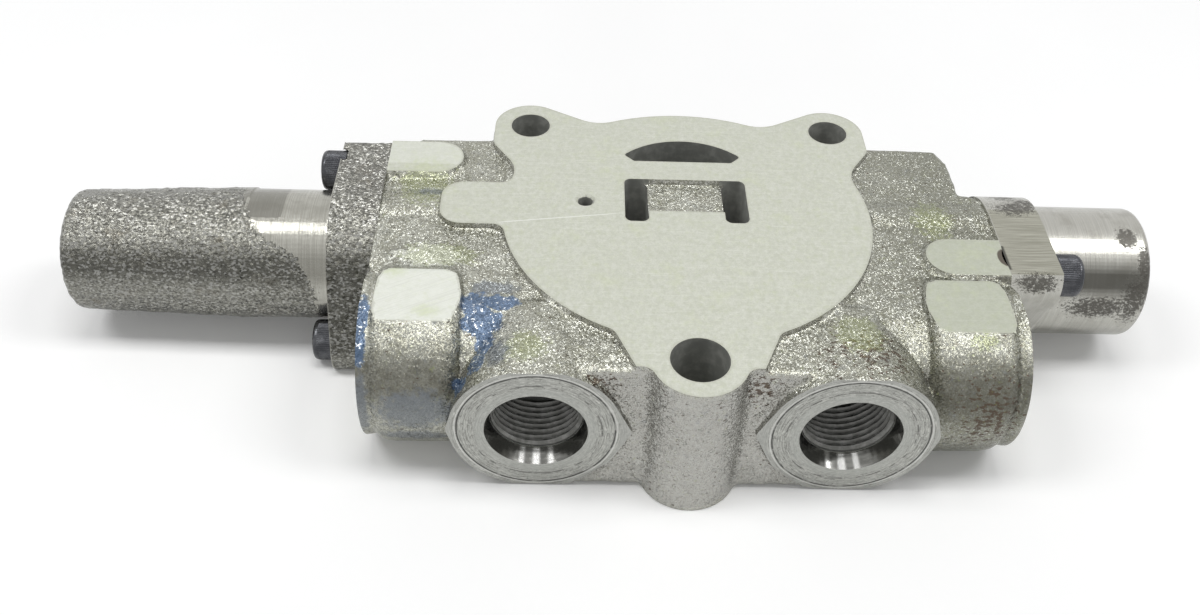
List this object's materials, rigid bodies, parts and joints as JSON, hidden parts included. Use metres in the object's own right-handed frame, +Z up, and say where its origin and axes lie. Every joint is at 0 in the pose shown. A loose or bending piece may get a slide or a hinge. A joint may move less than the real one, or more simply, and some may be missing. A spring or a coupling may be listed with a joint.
{
  "type": "hydraulic directional valve section",
  "caption": "Stackable cast-iron hydraulic directional valve section with threaded work ports, tie-bolt holes, a sliding spool and bolted caps over the ends of its bore.",
  "frame": {"origin": "on the lower mating face, under the spool's axis, midway between the two work ports", "axes": "+X along the spool towards the short cap, +Y to the back, away from the work ports, +Z up through the stack of sections"},
  "size_m": [0.3381, 0.1339, 0.0476],
  "materials": {
    "body_iron": "sand-cast skin with milled mating faces and pads",
    "cap_iron": "coarse sand-cast skin with one turned band",
    "cap_steel": "turned, with light rust pitting",
    "spool_steel": "hardened and ground",
    "plain_steel": "turned",
    "spring_steel": "oiled spring wire",
    "plug_steel": "turned, zinc washed dull",
    "screw_black": "black oxide, knurled heads",
    "seal_rubber": "nitrile"
  },
  "bodies": {
    "housing": {"valve_body": "body_iron", "long_spring_cap": "cap_iron", "short_pilot_cap": "cap_steel", "inner_spring_seat": "plain_steel", "centring_spring": "spring_steel", "check_spring": "spring_steel", "check_plug": "plug_steel", "return_face_seal": "seal_rubber", "centre_face_seal": "seal_rubber", "left_cap_screws": "screw_black", "right_cap_screws": "screw_black", "left_cap_seal": "seal_rubber", "right_cap_seal": "seal_rubber", "left_relief_plug": "plug_steel", "right_relief_plug": "plug_steel", "left_relief_seal": "seal_rubber", "right_relief_seal": "seal_rubber"},
    "spool_set": {"spool": "spool_steel", "stem_bolt": "screw_black", "outer_spring_seat": "plain_steel"},
    "check_set": {"check_poppet": "plain_steel"}
  },
  "joints": [
    {"name": "spool_slide", "type": "slide", "parent": "housing", "child": "spool_set", "axis": [1, 0, 0], "range_m": [-0.008, 0.008], "stiffness_N_per_m": 12000, "deforming": ["centring_spring"]},
    {"name": "check_slide", "type": "slide", "parent": "housing", "child": "check_set", "axis": [0, 0, -1], "range_m": [0, 0.004], "stiffness_N_per_m": 600, "deforming": ["check_spring"]}
  ]
}
